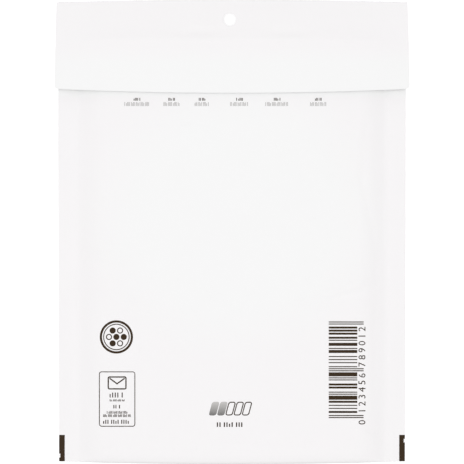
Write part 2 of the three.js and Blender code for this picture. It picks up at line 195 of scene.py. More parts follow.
class EnvelopeForm:
    """The folded sheet as formulas of the place on it, worked out from its sizes."""

    SHOULDER_POWER = 1.8
    NOSE_RATIO = 1.9
    NOSE_POWER = 2.6
    SEAL_SOFTNESS = 0.15
    GENTLE_SHARE = 0.9
    STEP_START = 0.55

    def __init__(self, sizes):
        self.s = sizes
        low, high = PAPER_BOX
        self.bottom = low[1]
        self.top = high[1]
        self.length = self.top - self.bottom
        self.half_width = (sizes.width_top + sizes.width_bottom) / 4
        self.padded_half = PADDED_THICKNESS / 2
        self.plane = self.padded_half
        self.seal_half = sizes.paper + sizes.glue / 2
        self.crease_outer = sizes.crease + sizes.paper
        self.ramp_end = sizes.mouth_setback + sizes.mouth_taper
        self.flap_rise = PADDED_THICKNESS + sizes.closure_stack - self.plane - sizes.crease
        self.flat_inset = sizes.seal + sizes.shoulder

    def half_width_at(self, y):
        share = (y - self.bottom) / self.length
        return mix(self.s.width_bottom, self.s.width_top, share) / 2

    def bottom_edge(self, across):
        return self.bottom + self.s.bottom_crown * across ** 2

    def top_edge(self, across):
        return self.top - self.s.top_crown * across ** 2

    def fullness(self, inset):
        climb = np.clip((inset - self.s.seal) / self.s.shoulder, 0.0, 1.0)
        climb = climb ** 2 * (1.0 + self.SEAL_SOFTNESS) / (climb + self.SEAL_SOFTNESS)
        return 1.0 - (1.0 - climb) ** self.SHOULDER_POWER

    def ramp(self, distance):
        run = self.ramp_end - self.crease_outer
        along = np.clip((distance - self.crease_outer) / run, 0.0, 1.0)
        step = smoothstep(along, self.STEP_START, 1.0)
        return self.GENTLE_SHARE * along + (1.0 - self.GENTLE_SHARE) * step

    def mouth_drop(self, distance):
        """How far the front panel lies below its full height, at a distance down it."""
        pressed = self.flap_rise * (1.0 - self.ramp(distance))
        sunk = np.clip((self.s.sag_end - distance) / self.s.sag_run, 0.0, 1.0) ** 2
        return pressed + self.s.sag * sunk * self.ramp(distance)

    def outer_half(self, fullness, drop=0.0):
        return self.seal_half + (self.padded_half - drop - self.seal_half) * fullness

    def front_settle(self, across, fullness, y):
        """How much of its relief the front panel shows, from none at the bottom fold."""
        start = self.bottom_edge(across) + self.NOSE_RATIO * self.outer_half(fullness)
        end = self.top_edge(across) - self.ramp_end
        return smoothstep((y - start) / (end - start), 0.0, 0.03)

    def front_height(self, x, y):
        """Height of the front panel's outer face, creases and dents included."""
        inset = self.half_width_at(y) - np.abs(x)
        across = np.clip(x / self.half_width, -1.0, 1.0)
        fullness = self.fullness(inset)
        drop = self.mouth_drop(self.top_edge(across) - y)
        half = self.outer_half(fullness, drop)
        reach = self.NOSE_RATIO * self.outer_half(fullness)
        into_nose = np.clip((self.bottom_edge(across) + reach - y) / reach, 0.0, 1.0)
        half = half * (1.0 - into_nose ** self.NOSE_POWER) ** (1 / self.NOSE_POWER)
        relief = front_relief(x, y, fullness, self.s.relief)
        return self.plane + half + self.front_settle(across, fullness, y) * relief


def dent(x, y, place, radii):
    """A soft oval dent of depth 1 at a place, with two radii."""
    return np.exp(-(((x - place[0]) / radii[0]) ** 2) - ((y - place[1]) / radii[1]) ** 2)


def fold(x, y, start, end, width):
    """A soft crease of depth 1 along a line, fading out at both ends."""
    run = np.subtract(end, start)
    span = math.hypot(*run)
    along = ((x - start[0]) * run[0] + (y - start[1]) * run[1]) / span
    aside = ((y - start[1]) * run[0] - (x - start[0]) * run[1]) / span
    fade = smoothstep(along, 0.0, 0.25 * span) * (1.0 - smoothstep(along, 0.75 * span, span))
    return fade * np.exp(-np.abs(aside / width) ** 1.6)


# Creases of the front panel: start, end, half width and depth, in millimetres
FRONT_CREASES = (
    ((62, 34), (70.5, -9), 1.8, -0.36),
    ((71.0, 4), (69.5, -92), 1.5, -0.36),
    ((66.0, 60), (62.5, 16), 2.0, -0.28),
    ((-80, -6), (-57, -13), 1.6, 0.62),
    ((-76, -13), (-59, -18), 1.5, -0.36),
    ((-64, -3), (-48, -8), 2.0, -0.30),
    ((-52, -27), (-33, -37), 1.8, -0.34),
    ((-70, -22), (-6, -66), 4.0, 0.45),
    ((38, -32), (71, -22), 1.9, 0.52),
    ((40, -36), (69, -27), 1.7, -0.34),
    ((21, 29), (38, 25), 1.8, 0.36),
    ((60, -96), (73, -102), 1.6, 0.55),
    ((-73, -60), (-66, -104), 2.4, -0.14),
    ((-68, 60), (-71, 10), 2.4, -0.14),
    ((-20, -104), (24, -105), 3.0, -0.12),
)


# Creases of the back panel, in the same way
BACK_CREASES = (
    ((-40, 62), (12, 84), 3.0, 0.16),
    ((52, -20), (66, -70), 3.0, 0.14),
    ((-66, -36), (-48, -84), 2.6, 0.14),
)

# Depth of the sealed margins' dip under the flap, and where it starts, is deepest and ends
SEAL_DIP = 1.0
DIP_START = 49.0
DIP_DEEPEST = 70.0
DIP_END = 97.0


def seal_relief(x, y, fullness):
    """Waves of the sealed margins, and their dip under the flap, shared by all the layers."""
    u = x / MM
    v = y / MM
    waves = 0.10 * np.sin(v / 13.0 + np.sign(u)) + 0.05 * np.sin(v / 4.7)
    below = np.clip((v - DIP_START) / (DIP_DEEPEST - DIP_START), 0.0, 1.0) ** 2
    dip = SEAL_DIP * below * (1.0 - smoothstep(v, DIP_DEEPEST, DIP_END))
    return MM * (waves - dip) * (1.0 - fullness)


def creased(total, u, v, creases):
    for start, end, width, depth in creases:
        total = total + depth * fold(u, v, start, end, width)
    return total


def front_relief(x, y, fullness, strength):
    """Creases, ripples and edge waves of the front panel, in metres."""
    u = x / MM
    v = y / MM
    total = 0.07 * np.sin(u / 17.0 + v / 31.0 + 0.6) * np.cos(v / 23.0 - u / 41.0)
    total = total + 0.04 * np.sin(u / 7.3 - v / 11.9 + 2.0) * np.sin(v / 9.1 + 0.4)
    total = creased(total, u, v, FRONT_CREASES)
    return strength * MM * total * fullness + seal_relief(x, y, fullness)


def back_relief(x, y, fullness, strength):
    """Dents of the back panel, which never reach below the surface that it lies on."""
    u = x / MM
    v = y / MM
    waves = 0.05 * (1.0 + np.sin(u / 15.0 - v / 27.0) * np.cos(v / 19.0 + u / 33.0))
    dents = creased(waves, u, v, BACK_CREASES)
    return strength * MM * dents * fullness + seal_relief(x, y, fullness)


# Dents of the flap over the mouth: place, radii and depth, in millimetres
FLAP_DENTS = (
    ((-15.7, 97.6), (11.5, 2.0), -0.55),
    ((27.4, 97.6), (10.5, 2.0), -0.55),
    ((-57.0, 98.4), (12.0, 3.0), -0.18),
    ((66.0, 97.0), (9.0, 3.4), -0.20),
    ((0.0, 72.5), (14.0, 3.0), -0.10),
    ((-40.0, 88.0), (22.0, 6.0), 0.06),
    ((44.0, 84.0), (24.0, 7.0), 0.06),
)


def flap_relief(x, y, strength):
    """Dents and gentle waves of the flap, in metres."""
    u = x / MM
    v = y / MM
    total = 0.05 * np.sin(u / 21.0 + 0.8) * np.sin(v / 8.0)
    for place, radii, depth in FLAP_DENTS:
        total = total + depth * dent(u, v, place, radii)
    return strength * MM * total


def sheet_columns(form, seal_steps=8, shoulder_steps=14, middle_steps=40, edge_inset=0.0):
    """Lines along the sheet from left to right, as arrays of what the rows need of them."""
    s = form.s
    insets = np.concatenate([
        np.linspace(edge_inset, s.seal, seal_steps + 1),
        np.linspace(s.seal, form.flat_inset, shoulder_steps + 1)[1:],
    ])
    shares = np.ones(len(insets))
    middle = np.arange(middle_steps - 1, -1, -1) / middle_steps
    insets = np.concatenate([insets, np.full(middle_steps, form.flat_inset)])
    shares = np.concatenate([shares, middle])
    inset = np.concatenate([insets, insets[-2::-1]])
    share = np.concatenate([shares, shares[-2::-1]])
    side = np.concatenate([np.full(len(insets), -1.0), np.full(len(insets) - 1, 1.0)])
    across = side * share * (1.0 - inset / form.half_width)
    return {
        "side": side, "share": share, "inset": inset, "across": across,
        "fullness": form.fullness(inset), "top": form.top_edge(across),
        "bottom": form.bottom_edge(across),
    }


def place_row(form, columns, y, z, widen=0.0):
    """Points of one row, spread over the width of the sheet at their Y."""
    half = form.half_width_at(y)
    scale = (half + widen) / half
    x = columns["side"] * columns["share"] * (half - columns["inset"]) * scale
    return np.stack([x, y + 0.0 * x, z + 0.0 * x], axis=1)


def flap_row(form, columns, distance, lift):
    """One row of the flap at a distance from the crease, raised above its inner face."""
    s = form.s
    across = columns["across"]
    stretch = 1.0 + (s.top_crown + s.flap_bow) * (1.0 - across ** 2) / s.flap_depth
    drawn = distance * stretch
    edgeward = smoothstep(np.abs(across), 1.0 - form.flat_inset / form.half_width, 1.0)
    straight = (distance - form.crease_outer) / (s.flap_depth - form.crease_outer)
    rise = mix(form.ramp(drawn), straight, edgeward)
    curl = mix(-s.flap_dip, s.flap_lift, edgeward) * straight ** 2
    y = columns["top"] - drawn
    z = form.plane + s.crease + form.flap_rise * rise + curl + lift
    row = place_row(form, columns, y, z, s.flap_overhang + s.flap_flare * straight)
    settle = smoothstep(distance, form.crease_outer, 6 * MM)
    row[:, 2] += settle * flap_relief(row[:, 0], row[:, 1], s.relief)
    return row


def flap_rows(form, columns, stops):
    return [
        (flap_row(form, columns, stop, form.s.paper), flap_row(form, columns, stop, 0.0))
        for stop in stops
    ]


def crease_rows(form, columns, steps=12):
    s = form.s
    rows = []
    for step in range(1, steps + 1):
        angle = math.pi * (0.5 - step / steps)
        pair = []
        for sheet in (s.paper, 0.0):
            radius = s.crease + sheet
            y = columns["top"] - form.crease_outer + radius * math.cos(angle)
            z = form.plane + radius * math.sin(angle)
            pair.append(place_row(form, columns, y, z, s.flap_overhang))
        rows.append(tuple(pair))
    return rows


def back_rows(form, columns, top_steps=12, steps=90):
    s = form.s
    fullness = columns["fullness"]
    rows = []
    for step in range(1, top_steps + 1):
        share = step / top_steps
        distance = mix(form.crease_outer, s.mouth_setback, share)
        swell = smoothstep(share)
        half = mix(form.crease_outer, form.outer_half(fullness), swell)
        y = columns["top"] - distance
        outer = place_row(form, columns, y, form.plane - half, s.flap_overhang * (1.0 - share))
        outer[:, 2] += swell * back_relief(outer[:, 0], outer[:, 1], fullness, s.relief)
        rows.append(outer)
    for step in range(1, steps):
        half = form.outer_half(fullness)
        start = columns["top"] - s.mouth_setback
        end = columns["bottom"] + form.NOSE_RATIO * half
        y = mix(start, end, step / steps)
        outer = place_row(form, columns, y, form.plane - half)
        settle = 1.0 - smoothstep(step / steps, 0.97, 1.0)
        outer[:, 2] += settle * back_relief(outer[:, 0], outer[:, 1], fullness, s.relief)
        rows.append(outer)
    return [(outer, outer + np.array([0.0, 0.0, s.paper])) for outer in rows]


def bottom_rows(form, columns, steps=9):
    rows = []
    half = form.outer_half(columns["fullness"])
    reach = form.NOSE_RATIO * half
    centre = columns["bottom"] + reach
    for step in range(-steps, steps + 1):
        angle = (math.pi / 2) * (step / steps)
        outward = max(math.cos(angle), 0.0) ** (2 / form.NOSE_POWER)
        upward = math.copysign(abs(math.sin(angle)) ** (2 / form.NOSE_POWER), angle)
        pair = []
        for sheet in (0.0, form.s.paper):
            y = centre - (reach - sheet) * outward
            z = form.plane + (half - sheet) * upward
            pair.append(place_row(form, columns, y, z))
        rows.append(tuple(pair))
    return rows


def front_rows(form, columns, steps=176, mouth_steps=8):
    s = form.s
    fullness = columns["fullness"]
    start = columns["bottom"] + form.NOSE_RATIO * form.outer_half(fullness)
    end = columns["top"] - form.ramp_end
    levels = [mix(start, end, step / steps) for step in range(1, steps + 1)]
    for step in range(1, mouth_steps + 1):
        distance = mix(form.ramp_end, s.mouth_setback, step / mouth_steps)
        levels.append(columns["top"] - distance)
    rows = []
    for y in levels:
        drop = form.mouth_drop(columns["top"] - y)
        outer = place_row(form, columns, y, form.plane + form.outer_half(fullness, drop))
        settle = form.front_settle(columns["across"], fullness, y)
        outer[:, 2] += settle * front_relief(outer[:, 0], outer[:, 1], fullness, s.relief)
        rows.append((outer, outer - np.array([0.0, 0.0, s.paper])))
    return rows


def mesh_object(name, points, faces, smooth=True):
    """A new object whose mesh has these points and faces, at the origin."""
    mesh = bpy.data.meshes.new(name)
    mesh.from_pydata([tuple(point) for point in points], [], faces)
    mesh.validate()
    mesh.update()
    if smooth:
        mesh.shade_smooth()
    obj = bpy.data.objects.new(name, mesh)
    bpy.context.scene.collection.objects.link(obj)
    return obj


def sheet_object(name, rows):
    """A closed thin sheet from rows of outer and inner points."""
    count = len(rows[0][0])
    outer = np.concatenate([row[0] for row in rows])
    inner = np.concatenate([row[1] for row in rows])
    points = np.concatenate([outer, inner])
    shift = len(outer)
    faces = []
    for row in range(len(rows) - 1):
        for line in range(count - 1):
            a = row * count + line
            b = a + 1
            c = b + count
            d = a + count
            faces.append((a, b, c, d))
            faces.append((shift + a, shift + d, shift + c, shift + b))
        first = row * count
        last = first + count - 1
        faces.append((first, first + count, shift + first + count, shift + first))
        faces.append((last, shift + last, shift + last + count, last + count))
    end = (len(rows) - 1) * count
    for line in range(count - 1):
        faces.append((line, shift + line, shift + line + 1, line + 1))
        a = end + line
        faces.append((a, a + 1, shift + a + 1, shift + a))
    return mesh_object(name, points, faces)


def mark_sharp(obj, degrees=40.0):
    """Keeps the cut edges of a thin sheet crisp under smooth shading."""
    mesh = obj.data
    edit = bmesh.new()
    edit.from_mesh(mesh)
    for edge in edit.edges:
        if len(edge.link_faces) == 2:
            edge.smooth = edge.calc_face_angle(0.0) < math.radians(degrees)
    edit.to_mesh(mesh)
    edit.free()


def cut_away(obj, cutter):
    """Takes a closed cutter out of an object and removes the cutter."""
    modifier = obj.modifiers.new("cut", "BOOLEAN")
    modifier.operation = "DIFFERENCE"
    modifier.solver = "EXACT"
    modifier.object = cutter
    graph = bpy.context.evaluated_depsgraph_get()
    mesh = bpy.data.meshes.new_from_object(obj.evaluated_get(graph))
    obj.modifiers.clear()
    old = obj.data
    obj.data = mesh
    bpy.data.meshes.remove(old)
    bpy.data.objects.remove(cutter)


def prism(name, outline, low, high, lean=0.0):
    """A closed prism over an anticlockwise outline at Z 0, leaning towards -Y as it rises."""
    count = len(outline)
    points = [(x, y - lean * z, z) for z in (low, high) for x, y in outline]
    faces = [tuple(range(count))[::-1], tuple(range(count, 2 * count))]
    for here in range(count):
        after = (here + 1) % count
        faces.append((here, after, count + after, count + here))
    return mesh_object(name, points, faces, smooth=False)


def circle(centre, radius, count, start=0.0, end=2 * math.pi):
    """Points round an arc, the last one left out where it closes on the first."""
    whole = abs(end - start) > 2 * math.pi - 1e-6
    steps = count if whole else count - 1
    return [
        (
            centre[0] + radius * math.cos(mix(start, end, step / steps)),
            centre[1] + radius * math.sin(mix(start, end, step / steps)),
        )
        for step in range(count)
    ]


def feed(tree, node, values):
    """Sets inputs of a node, by a link where a value is an output or a node's first output."""
    for key, value in values.items():
        if isinstance(value, bpy.types.Node):
            value = value.outputs[0]
        if isinstance(value, bpy.types.NodeSocket):
            tree.links.new(value, node.inputs[key])
        else:
            node.inputs[key].default_value = value


def add_node(tree, kind, values=None, **options):
    """A new node with its options and inputs set."""
    node = tree.nodes.new(kind)
    for name, option in options.items():
        setattr(node, name, option)
    feed(tree, node, values or {})
    return node


def add_noise(tree, vector, scale, detail):
    values = {"Vector": vector, "Scale": scale, "Detail": detail, "Roughness": 0.5}
    return add_node(tree, "ShaderNodeTexNoise", values).outputs["Fac"]


def add_math(tree, operation, first, second):
    values = {0: first, 1: second}
    return add_node(tree, "ShaderNodeMath", values, operation=operation).outputs["Value"]


def add_ramp(tree, factor, stops):
    """A straight map of a factor, from a low and a high to a low and a high."""
    values = dict(zip(("From Min", "From Max", "To Min", "To Max"), stops), Value=factor)
    return add_node(tree, "ShaderNodeMapRange", values).outputs["Result"]


def add_blend(tree, factor, first, second):
    """A mix of two colours by a factor."""
    values = {0: factor, 6: first, 7: second}
    return add_node(tree, "ShaderNodeMix", values, data_type="RGBA").outputs[2]


def add_bump(tree, height, strength, distance):
    values = {"Height": height, "Strength": strength, "Distance": distance}
    return add_node(tree, "ShaderNodeBump", values).outputs["Normal"]


def object_place(tree):
    return tree.nodes.new("ShaderNodeTexCoord").outputs["Object"]


def stretched_place(tree, scale):
    values = {"Vector": object_place(tree), "Scale": scale}
    return add_node(tree, "ShaderNodeMapping", values).outputs["Vector"]


def opaque(colour, share=1.0):
    """A colour for a socket, scaled by a share."""
    return (*[min(1.0, share * channel) for channel in colour], 1.0)


def new_material(name):
    """A new material, its node tree and its shader."""
    material = bpy.data.materials.new(name)
    material.use_nodes = True
    tree = material.node_tree
    tree.nodes.clear()
    shader = tree.nodes.new("ShaderNodeBsdfPrincipled")
    add_node(tree, "ShaderNodeOutputMaterial", {"Surface": shader})
    return material, tree, shader


def finish_group(name, inputs):
    """A new node group with named inputs that gives a colour, a roughness and a height."""
    group = bpy.data.node_groups.new(name, "ShaderNodeTree")
    for label, kind, default in inputs:
        socket = group.interface.new_socket(label, in_out="INPUT", socket_type=kind)
        socket.default_value = default
    group.interface.new_socket("Colour", in_out="OUTPUT", socket_type="NodeSocketColor")
    for label in ("Roughness", "Height"):
        group.interface.new_socket(label, in_out="OUTPUT", socket_type="NodeSocketFloat")
    return group, group.nodes.new("NodeGroupInput").outputs, group.nodes.new("NodeGroupOutput")


def paper_grain_group(name):
    """Fibres, cloudiness and fine tooth of uncoated paper."""
    group, start, end = finish_group(name, (
        ("Colour", "NodeSocketColor", (0.9, 0.9, 0.9, 1.0)),
        ("Cloud", "NodeSocketFloat", 0.015),
        ("Fibre Scale", "NodeSocketFloat", 900.0),
    ))
    place = object_place(group)
    cloud = add_noise(group, place, 55.0, 4.0)
    speck = add_noise(group, place, 2600.0, 2.0)
    fibre = add_noise(group, stretched_place(group, (1.0, 0.35, 1.0)), start["Fibre Scale"], 3.0)
    swing = add_math(group, "MULTIPLY", add_math(group, "SUBTRACT", cloud, 0.5), start["Cloud"])
    grain = add_math(group, "MULTIPLY", add_math(group, "SUBTRACT", fibre, 0.5), 0.008)
    shade = add_math(group, "ADD", add_math(group, "ADD", swing, grain), 1.0)
    values = {0: start["Colour"], "Scale": shade}
    feed(group, end, {
        "Colour": add_node(group, "ShaderNodeVectorMath", values, operation="SCALE"),
        "Roughness": add_ramp(group, fibre, (0.3, 0.7, 0.78, 0.92)),
        "Height": add_math(group, "ADD", add_math(group, "MULTIPLY", speck, 0.35), fibre),
    })
    return group


def ink_coverage_group(name):
    """Uneven coverage of ink printed on uncoated paper."""
    group, start, end = finish_group(name, (
        ("Ink", "NodeSocketColor", (0.05, 0.04, 0.03, 1.0)),
        ("Paper", "NodeSocketColor", (0.9, 0.9, 0.9, 1.0)),
        ("Thin", "NodeSocketFloat", 0.08),
    ))
    mottle = add_noise(group, object_place(group), 1400.0, 3.0)
    patchy = add_ramp(group, mottle, (0.35, 0.75, 0.0, 1.0))
    bare = add_math(group, "MULTIPLY", patchy, start["Thin"])
    feed(group, end, {
        "Colour": add_blend(group, bare, start["Ink"], start["Paper"]),
        "Roughness": add_ramp(group, mottle, (0.3, 0.7, 0.45, 0.65)),
        "Height": mottle,
    })
    return group


def grouped_material(name, group_name, maker, values, bump, depth, specular):
    """A material that takes its colour, roughness and relief from a shared node group."""
    material, tree, shader = new_material(name)
    group = bpy.data.node_groups.get(group_name) or maker(group_name)
    source = add_node(tree, "ShaderNodeGroup", node_tree=group)
    feed(tree, source, values)
    feed(tree, shader, {
        "Base Color": source.outputs["Colour"],
        "Roughness": source.outputs["Roughness"],
        "Normal": add_bump(tree, source.outputs["Height"], bump, depth),
        "Specular IOR Level": specular,
    })
    return material


def group_node(material):
    return next(node for node in material.node_tree.nodes if node.type == "GROUP")


def paper_material(name, base, cloud, fibre_scale, bump):
    values = {"Colour": opaque(base), "Cloud": cloud, "Fibre Scale": fibre_scale}
    return grouped_material(name, "Paper Grain", paper_grain_group, values, bump, 0.02 * MM, 0.2)


def ink_material(name, ink, thin):
    """The named ink on the envelope's paper, made the first time that it is asked for."""
    values = {"Ink": opaque(ink), "Paper": opaque(settings().colours.paper), "Thin": thin}
    made = bpy.data.materials.get(name)
    return made or grouped_material(
        name, "Ink Coverage", ink_coverage_group, values, 0.15, 0.01 * MM, 0.1,
    )


def whiten_middle(material, base):
    """Lets the paper's faint pink go in the middle of the front and low on the flap."""
    tree = material.node_tree
    place = object_place(tree)
    values = {"Vector": place, "Location": (2 * MM, 8 * MM, 0.0), "Scale": (82 * MM, 78 * MM, 1.0)}
    centred = add_node(tree, "ShaderNodeMapping", values, vector_type="TEXTURE")
    patch = add_node(tree, "ShaderNodeTexGradient", {"Vector": centred}, gradient_type="SPHERICAL")
    middle = add_ramp(tree, patch.outputs["Fac"], (0.08, 0.4, 0.0, 1.0))
    level = add_node(tree, "ShaderNodeSeparateXYZ", {"Vector": place}).outputs["Y"]
    above = add_ramp(tree, level, (65 * MM, 67 * MM, 0.0, 1.0))
    low = add_ramp(tree, level, (90 * MM, 82 * MM, 0.0, 1.0))
    white = add_math(tree, "MAXIMUM", middle, add_math(tree, "MULTIPLY", above, low))
    blend = add_blend(tree, white, opaque(base), opaque([base[0]] * 3))
    feed(tree, group_node(material), {"Colour": blend})


def film_material(base):
    """Clear polyethylene film with fine flow lines."""
    material, tree, shader = new_material("bubble_film")
    place = object_place(tree)
    haze = add_noise(tree, place, 160.0, 3.0)
    flow = add_noise(tree, place, 700.0, 2.0)
    feed(tree, shader, {
        "Base Color": add_blend(tree, haze, opaque(base), opaque(base, 1.07)),
        "Roughness": add_ramp(tree, haze, (0.3, 0.7, 0.14, 0.3)),
        "Normal": add_bump(tree, flow, 0.25, 0.03 * MM),
        "Transmission Weight": 0.45,
        "IOR": 1.5,
    })
    return material


def adhesive_material(base):
    """Pressure-sensitive adhesive, glossy with fine coating streaks."""
    material, tree, shader = new_material("adhesive")
    streak = add_noise(tree, stretched_place(tree, (0.1, 1.0, 1.0)), 900.0, 3.0)
    feed(tree, shader, {
        "Base Color": add_blend(tree, streak, opaque(base, 0.92), opaque(base)),
        "Roughness": add_ramp(tree, streak, (0.3, 0.7, 0.18, 0.36)),
        "Normal": add_bump(tree, streak, 0.3, 0.02 * MM),
    })
    return material


def finish_piece(obj, material, slot_name, *nodes):
    """Gives a piece its finish and its body, and hides the nodes that it stands for. The slot name
    is not used.
    """
    obj.data.materials.clear()
    obj.data.materials.append(material)
    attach(obj, "root")
    if nodes:
        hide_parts(*nodes)
    return obj


def settings():
    return bpy.context.scene.padded_envelope


class PaddedEnvelope(bpy.types.PropertyGroup):
    """All the settings of the padded envelope."""

    paper: PointerProperty(type=EnvelopePaperSizes)
    liner: PointerProperty(type=EnvelopeLinerSizes)
    colours: PointerProperty(type=EnvelopeColours)
    prints: PointerProperty(type=EnvelopePrintSizes)
    stage: PointerProperty(type=EnvelopeStageSizes)


class ENVELOPE_OT_paper(bpy.types.Operator):
    """Fold the sheet of paper into its pocket and flap"""

    bl_idname = "envelope.paper"
    bl_label = "Paper"

    HOLE_LEAN = 0.12
    FLAP_ABOVE_PLANE = 2 * MM

    def execute(self, context):
        sizes = settings().paper
        form = EnvelopeForm(sizes)
        columns = sheet_columns(form)
        stops = self.flap_stops(form)
        rows = flap_rows(form, columns, stops)
        rows += crease_rows(form, columns)
        rows += back_rows(form, columns)
        rows += bottom_rows(form, columns)
        rows += front_rows(form, columns)
        sheet = sheet_object("folded_paper", rows)
        self.cut_hole(form, sheet)
        for side in (-1, 1):
            self.round_corner(form, sheet, side)
        mark_sharp(sheet)
        base = tuple(settings().colours.paper)
        material = paper_material("white_paper", base, 0.008, 900.0, 0.35)
        whiten_middle(material, base)
        finish_piece(sheet, material, "white_paper", "paper_envelope")
        return {"FINISHED"}

    def flap_stops(self, form):
        """Distances from the crease, from the free edge back to the crease."""
        ramp_steps = 16
        lying_steps = 15
        ramp = np.linspace(form.crease_outer, form.ramp_end, ramp_steps + 1)
        lying = np.linspace(form.ramp_end, form.s.flap_depth, lying_steps + 1)[1:]
        return np.concatenate([ramp, lying])[::-1]

    def cut_hole(self, form, sheet):
        """Cuts the hole through both layers, leaning so that it is clear from above."""
        s = form.s
        flap_level = form.plane + self.FLAP_ABOVE_PLANE
        centre = (s.hole_offset, form.top - s.hole_drop + self.HOLE_LEAN * flap_level)
        outline = circle(centre, s.hole / 2, 40)
        cut_away(sheet, prism("hole_cutter", outline, -5 * MM, 15 * MM, self.HOLE_LEAN))

    def round_corner(self, form, sheet, side):
        s = form.s
        edge = sheet_columns(form, 1, 1, 1)
        corner = flap_row(form, edge, s.flap_depth, 0.0)[0 if side < 0 else -1]
        radius = s.flap_corner
        inner = (corner[0] - side * radius, corner[1] + radius)
        arc = circle(inner, radius, 9, -math.pi / 2, 0.0)
        if side < 0:
            arc = [(2 * inner[0] - x, y) for x, y in arc]
        far = (corner[0] + side * radius, corner[1] - radius)
        outline = [*arc, (far[0], inner[1]), far, (inner[0], far[1])]
        if side > 0:
            outline.reverse()
        base = corner[2] - 2 * MM
        cut_away(sheet, prism("corner_cutter", outline, base, base + 6 * MM))


class ENVELOPE_OT_liner(bpy.types.Operator):
    """Lay the folded bubble film in the pocket"""

    bl_idname = "envelope.liner"
    bl_label = "Bubble Liner"

    DOME_SIDES = 18
    DOME_FLATNESS = 0.42

    def execute(self, context):
        self.form = EnvelopeForm(settings().paper)
        self.s = settings().liner
        film = self.flat_film()
        bubbles = self.bubble_field()
        material = film_material(tuple(settings().colours.film))
        self.grow_bubbles(bubbles, material)
        self.fold_bubbles(bubbles)
        merge_objects(film, bubbles)
        finish_piece(film, material, "bubble_film", "bubble_liner")
        return {"FINISHED"}

    def edge_inset(self):
        """How far in from the side edge the pocket has room for the film's crushed edge."""
        form = self.form
        needed = 2 * self.s.film + form.s.paper + self.s.gap + self.s.pocket / 2
        share = (needed - form.seal_half) / (form.padded_half - form.seal_half)
        insets = np.linspace(form.s.seal, form.flat_inset, 400)
        return float(np.interp(share, form.fullness(insets), insets))

    def points(self, across, along, height):
        """Points at a height out from the flat film, and the room for a bubble there."""
        form = self.form
        inset_edge = self.edge_inset()
        inset = form.half_width - np.abs(across) * (form.half_width - inset_edge)
        fullness = form.fullness(inset)
        place = across * (1 - inset_edge / form.half_width)
        cover = form.s.paper + self.s.gap
        nose_half = form.outer_half(fullness)
        nose_reach = form.NOSE_RATIO * nose_half
        centre = form.bottom_edge(place) + nose_reach
        turn = (math.pi / 2) * np.hypot(nose_reach - cover, nose_half - cover) / math.sqrt(2)
        mouth = form.top_edge(place) - form.s.mouth_setback - self.s.below_mouth
        travel = np.abs(along) * (turn + mouth - centre)
        angle = (math.pi / 2) * np.minimum(travel / turn, 1.0)
        straight = np.maximum(travel - turn, 0.0)
        drop = np.where(along > 0, form.mouth_drop(form.top_edge(place) - centre - straight), 0.0)
        room = form.outer_half(fullness, drop) - cover - self.s.pocket / 2
        reach = nose_reach - cover - room + height
        y = centre + straight - reach * np.cos(angle)
        z = form.plane + np.sign(along) * (self.s.pocket / 2 + height) * np.sin(angle)
        x = across * (form.half_width_at(y) - inset_edge)
        return np.stack([x, y, z + seal_relief(x, y, fullness)], axis=-1), room

    def flat_film(self):
        """The film's flat layer, folded at the bottom, as a closed thin sheet."""
        lines = np.linspace(-1, 1, 45)
        halves = np.concatenate([np.linspace(0, 0.1, 13), np.linspace(0.1, 1, 30)[1:]])
        rows = []
        for along in np.concatenate([-halves[::-1], halves[1:]]):
            spread = np.full(len(lines), along)
            outer = self.points(lines, spread, self.s.film)[0]
            inner = self.points(lines, spread, 0.0)[0]
            rows.append((outer, inner))
        return sheet_object("bubble_film", rows)

    def web(self):
        """Half the width of the flat web, and half its length before it is folded."""
        form = self.form
        half_wide = form.half_width - self.edge_inset()
        half_long = form.length - form.s.mouth_setback - self.s.below_mouth
        return half_wide, half_long

    def bubble_field(self):
        """One point for each bubble on the flat web, row by row."""
        half_wide, half_long = self.web()
        cells = round(2 * half_wide / self.s.pitch)
        rows = 2 * round(half_long * 2 / (self.s.pitch * math.sqrt(3)))
        places = []
        for row in range(rows):
            y = half_long * ((2 * row + 1) / rows - 1)
            for cell in range(cells - row % 2):
                x = half_wide * ((2 * cell + 1 + row % 2) / cells - 1)
                places.append((x, y, 0.0))
        mesh = bpy.data.meshes.new("bubbles")
        mesh.from_pydata(places, [], [])
        obj = bpy.data.objects.new("bubbles", mesh)
        bpy.context.scene.collection.objects.link(obj)
        return obj

    def grow_bubbles(self, obj, material):
        """Grows a flat-topped dome of height 1 on every point, kept as a plain mesh."""
        tree = bubble_tree()
        modifier = obj.modifiers.new("bubbles", "NODES")
        modifier.node_group = tree
        inputs = {
            item.name: item.identifier for item in tree.interface.items_tree
            if item.item_type == "SOCKET" and item.in_out == "INPUT"
        }
        modifier[inputs["Sides"]] = self.DOME_SIDES
        modifier[inputs["Foot"]] = self.s.bubble / 2
        modifier[inputs["Flatness"]] = self.DOME_FLATNESS
        modifier[inputs["Material"]] = material
        graph = bpy.context.evaluated_depsgraph_get()
        mesh = bpy.data.meshes.new_from_object(obj.evaluated_get(graph))
        obj.modifiers.clear()
        obj.data = mesh
        mesh.shade_smooth()

    def fold_bubbles(self, obj):
        """Folds the flat field with its web, each dome as tall as the pocket has room for."""
        half_wide, half_long = self.web()
        mesh = obj.data
        flat = np.empty(len(mesh.vertices) * 3, dtype=np.float32)
        mesh.vertices.foreach_get("co", flat)
        x, y, rise = flat.reshape(-1, 3).astype(float).T
        across = np.clip(x / half_wide, -1.0, 1.0)
        along = np.clip(y / half_long, -1.0, 1.0)
        room = self.points(across, along, self.s.film)[1]
        height = self.s.film * 0.9 + np.maximum(room - self.s.film, 0.1 * MM) * rise
        points = self.points(across, along, height)[0]
        mesh.vertices.foreach_set("co", points.astype(np.float32).ravel())
        mesh.update()


